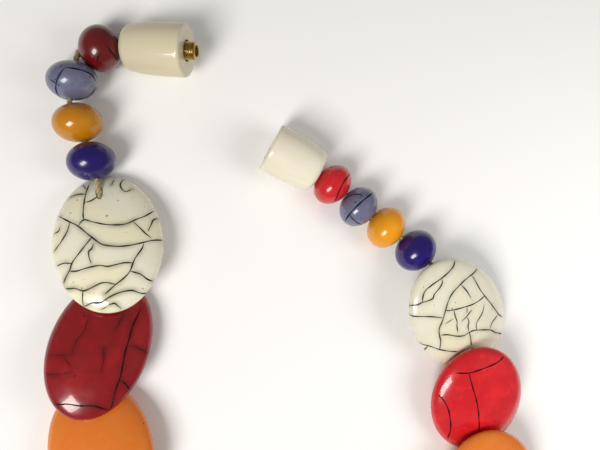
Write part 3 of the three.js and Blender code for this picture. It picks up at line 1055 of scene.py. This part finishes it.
class NECKLACE_OT_clasp_halves(bpy.types.Operator):
    """Turn the two ivory halves of the barrel clasp"""

    bl_idname = "necklace.clasp_halves"
    bl_label = "Clasp halves"

    edge_radius: length_setting("Edge", "Rounding of the screw face's edge", 0.8)
    shoulder_radius: length_setting("Shoulder", "Rounding of the end at the beads", 2.7)
    waist: length_setting("Drop", "How far the side curves in towards the beads", 0.8)
    stud_seat: length_setting("Stud seat", "Diameter of the seat round the stud", 5.7)
    socket_seat: length_setting("Socket seat", "Diameter of the seat round the socket", 8.2)
    neck_hole: length_setting("Neck hole", "Diameter of the thread's hole", 1.9)
    seat_lip: length_setting("Lip", "Softening of the seat's rim", 0.25)
    stud_depth: length_setting("Stud depth", "Depth of the seat round the stud", 6.7)
    socket_depth: length_setting("Socket depth", "Depth of the seat round the socket", 6.3)
    neck_flare: length_setting("Flare", "How far the thread's hole opens at its mouth", 0.4)

    def half(self, name, mount, seat, depth):
        place = Turned(name, mount)
        edge, round_off = self.edge_radius, self.shoulder_radius
        lip = self.seat_lip
        shoulder = place.radius - self.waist
        seat_radius, neck = seat / 2, self.neck_hole / 2
        face = arc(-edge, place.radius - edge, edge, 0, 90)
        start = -place.length + round_off
        shares = [i / FLANK_STEPS for i in range(1, FLANK_STEPS)]
        flank = [(-edge + (start + edge) * t, place.radius - self.waist * t**4, 1.0)
                 for t in shares]
        end = arc(start, shoulder - round_off, round_off, 90, 180, 12)
        rows = [
            *face, *flank, *end,
            (-place.length, neck + self.neck_flare, 1.0),
            (-place.length + self.neck_flare * 0.75, neck, 1.0),
            (-depth, neck, 1.0),
            (-depth, seat_radius, 1.0),
            (-lip * 2, seat_radius + lip, 1.0),
            (-lip * 0.3, seat_radius + lip * 0.3, 1.0),
            (0.0, seat_radius + lip, 1.0),
        ]
        mesh = revolved(name, place, rows, CLASP_SIDES, ring=True)
        material = bpy.data.materials.get("clasp_ivory") or ivory_material()
        piece = plain_object(f"{name}_turned", mesh, material)
        set_tone_and_shade(piece, name)
        settle(piece, "resin_ivory", name)

    def execute(self, context):
        self.half("clasp_stud_half", "screw_face_stud", self.stud_seat, self.stud_depth)
        self.half("clasp_socket_half", "screw_face_socket", self.socket_seat, self.socket_depth)
        return {"FINISHED"}


class NECKLACE_OT_screw(bpy.types.Operator):
    """Cut the brass stud and the brass socket"""

    bl_idname = "necklace.screw"
    bl_label = "Brass screw"

    hollow: length_setting("Hollow", "Diameter of the hole in the stud's end", 3.3)
    hollow_depth: length_setting("Hollow depth", "Depth of that hole", 2.0)
    chamfer: length_setting("Chamfer", "Bevel on the stud's end", 0.5)
    wall: length_setting("Wall", "Thickness of the socket, from its outside to the screw", 0.9)
    sunk: length_setting("Sunk", "How far the socket's end lies under the ivory's face", 0.2)

    @staticmethod
    def ridge(along, angle, pitch):
        """Height of the screw's ridge there, from 0 in the groove to 1 on the crest."""
        turn = (along / pitch - angle / (2 * math.pi)) % 1
        return min(1.0, max(0.0, 1.6 - abs(turn - 0.5) * 4.4))

    def screw_rows(self, start, end, crest, sign):
        """Stations of a helical screw surface, its ridges standing inward or outward."""
        pitch, depth = sizes().screw_pitch, sizes().screw_depth
        steps = max(2, round(abs(end - start) / pitch * SCREW_STEPS))
        rows = []
        for i in range(steps + 1):
            along = start + (end - start) * i / steps
            fade = min(1.0, 3 * i / steps, 3 * (steps - i) / steps) if sign > 0 else 1.0
            tall = [self.ridge(along, 2 * math.pi * k / SCREW_SIDES, pitch) * min(1, fade * 3)
                    for k in range(SCREW_SIDES)]
            rows.append((along, [crest - sign * depth * (1 - t) for t in tall], tall))
        return rows

    def execute(self, context):
        brass = bpy.data.materials.get("screw_brass") or brass_material()
        stud = Turned("clasp_stud", "screw_face_stud")
        radius, hollow, bevel = stud.radius, self.hollow / 2, self.chamfer
        rows = [
            (-stud.length, 0.0, 0.3),
            (-stud.length, radius - sizes().screw_depth, 0.3),
            *self.screw_rows(-stud.length + 0.1 * MM, -bevel, radius, 1),
            (-bevel * 0.5, radius - sizes().screw_depth - bevel * 0.4, 0.9),
            (0.0, radius - sizes().screw_depth - bevel, 0.8),
            # The crest values fall to 0 down the hollow: painted shade inside it.
            (0.0, hollow, 0.5),
            (-0.3 * MM, hollow * 0.9, 0.15),
            (-self.hollow_depth, hollow * 0.85, 0.0),
            (-self.hollow_depth, 0.0, 0.0),
        ]
        mesh = revolved("clasp_stud", stud, rows, SCREW_SIDES)
        piece = plain_object("clasp_stud_screw", mesh, brass)
        settle(piece, "brass", "clasp_stud")

        socket = Turned("clasp_socket", "screw_face_socket")
        inner = socket.radius - self.wall
        rows = [
            (-socket.length, socket.radius, 0.8),
            (-self.sunk - 0.15 * MM, socket.radius, 0.9),
            (-self.sunk, socket.radius - 0.15 * MM, 1.0),
            (-self.sunk, inner, 1.0),
            *self.screw_rows(-self.sunk - 0.1 * MM, -socket.length + 0.1 * MM, inner, -1),
            (-socket.length, inner, 0.4),
        ]
        mesh = revolved("clasp_socket", socket, rows, SCREW_SIDES, ring=True)
        piece = plain_object("clasp_socket_screw", mesh, brass)
        settle(piece, "brass", "clasp_socket")
        return {"FINISHED"}


class NECKLACE_OT_thread(bpy.types.Operator):
    """Twist the thread that carries everything"""

    bl_idname = "necklace.thread"
    bl_label = "Thread"

    strands: bpy.props.IntProperty(name="Strands", description="Strands twisted together",
                                   default=3, min=2, max=5)
    step: length_setting("Step", "Distance between rings along a strand", 0.5)

    def execute(self, context):
        line = thread_line()
        mesh = bpy.data.meshes.new("thread_line")
        mesh.from_pydata(line, [(i, i + 1) for i in range(len(line) - 1)], [])
        piece = grown("thread_twisted", mesh, thread_tree(), Step=self.step,
                      Lay=sizes().strand_lay, Strand=sizes().strand_diameter,
                      Strands=self.strands, Fibre=thread_material())
        settle(piece, "thread", "thread")
        return {"FINISHED"}


class NECKLACE_OT_stage(bpy.types.Operator):
    """Set the table, the light and the photograph's view"""

    bl_idname = "necklace.stage"
    bl_label = "Stage"

    @staticmethod
    def lamp(name, power, size, place, aim, colour, mirrored):
        light = bpy.data.lights.new(name, "AREA")
        light.shape = "RECTANGLE"
        light.size, light.size_y = size
        light.energy = power
        light.color = colour
        lamp = bpy.data.objects.new(name, light)
        bpy.context.scene.collection.objects.link(lamp)
        lamp.location = place
        lamp.visible_glossy = mirrored
        lamp.rotation_euler = (Vector(aim) - Vector(place)).to_track_quat("-Z", "Y").to_euler()

    def execute(self, context):
        scene = context.scene
        setup = scene.necklace_stage
        table = bmesh.new()
        bmesh.ops.create_grid(table, x_segments=1, y_segments=1, size=1.5)
        mesh = bpy.data.meshes.new("table")
        table.to_mesh(mesh)
        table.free()
        cover = Surface("table_cover", Specular_IOR_Level=0.2)
        soft = cover.noise(40 * MM, detail=2)
        pale = tuple(setup.table)
        cover.feed(Base_Color=cover.mix(cover.between(soft, 0.3, 0.7, 0, 0.3), pale,
                                        tinted(pale, 0.98)),
                   Roughness=cover.between(soft, 0.3, 0.7, 0.7, 0.8))
        plain_object("table", mesh, cover.material)

        world = bpy.data.worlds.new("room")
        world.use_nodes = True
        back = world.node_tree.nodes["Background"]
        back.inputs["Color"].default_value = (1, 0.99, 0.975, 1)
        back.inputs["Strength"].default_value = setup.sky_strength
        scene.world = world

        self.lamp("window", setup.window_power, size=(0.2, 0.3), place=(-0.30, -0.24, 0.46),
                  aim=(0, 0.02, 0), colour=(1, 0.98, 0.95), mirrored=True)
        self.lamp("fill", setup.fill_power, size=(0.14, 0.14), place=(0.17, 0.02, 0.17),
                  aim=(0.05, 0.02, 0), colour=(1, 0.99, 0.97), mirrored=False)

        ahead, right, up = photo_axes()
        camera = bpy.data.cameras.new("photo_view")
        camera.sensor_width = SENSOR_WIDTH
        camera.lens = PHOTO_FOCUS / PHOTO_WIDTH * SENSOR_WIDTH
        camera.clip_start = 0.01
        view = bpy.data.objects.new("photo_view", camera)
        turn = Matrix((right, up, -ahead)).transposed().to_4x4()
        view.matrix_world = Matrix.Translation(VIEW_PLACE) @ turn
        scene.collection.objects.link(view)
        scene.camera = view
        scene.view_settings.view_transform = "Standard"
        return {"FINISHED"}


STEPS = (NECKLACE_OT_stage, NECKLACE_OT_discs, NECKLACE_OT_beads, NECKLACE_OT_cracks,
         NECKLACE_OT_clasp_halves, NECKLACE_OT_screw, NECKLACE_OT_thread)


class NECKLACE_PT_panel(bpy.types.Panel):
    """Makes the necklace's pieces and shows its settings"""

    bl_idname = "NECKLACE_PT_panel"
    bl_label = "Necklace"
    bl_space_type = "VIEW_3D"
    bl_region_type = "UI"
    bl_category = "Necklace"

    def draw(self, context):
        for step in STEPS:
            self.layout.operator(step.bl_idname)
        for group in ("necklace_colours", "necklace_sizes", "necklace_stage"):
            box = self.layout.box()
            settings = getattr(context.scene, group)
            for name in settings.__annotations__:
                box.prop(settings, name)


GROUPS = {"necklace_colours": NecklaceColours, "necklace_sizes": NecklaceSizes,
          "necklace_stage": NecklaceStage}


def register():
    for kind in (*GROUPS.values(), *STEPS, NECKLACE_PT_panel):
        bpy.utils.register_class(kind)
    for name, kind in GROUPS.items():
        setattr(bpy.types.Scene, name, bpy.props.PointerProperty(type=kind))


def unregister():
    for name in GROUPS:
        delattr(bpy.types.Scene, name)
    for kind in reversed((*GROUPS.values(), *STEPS, NECKLACE_PT_panel)):
        bpy.utils.unregister_class(kind)


def main():
    register()
    bpy.ops.necklace.stage()
    bpy.ops.necklace.discs()
    bpy.ops.necklace.beads()
    bpy.ops.necklace.cracks()
    bpy.ops.necklace.clasp_halves()
    bpy.ops.necklace.screw()
    bpy.ops.necklace.thread()


if __name__ == "__main__":
    main()
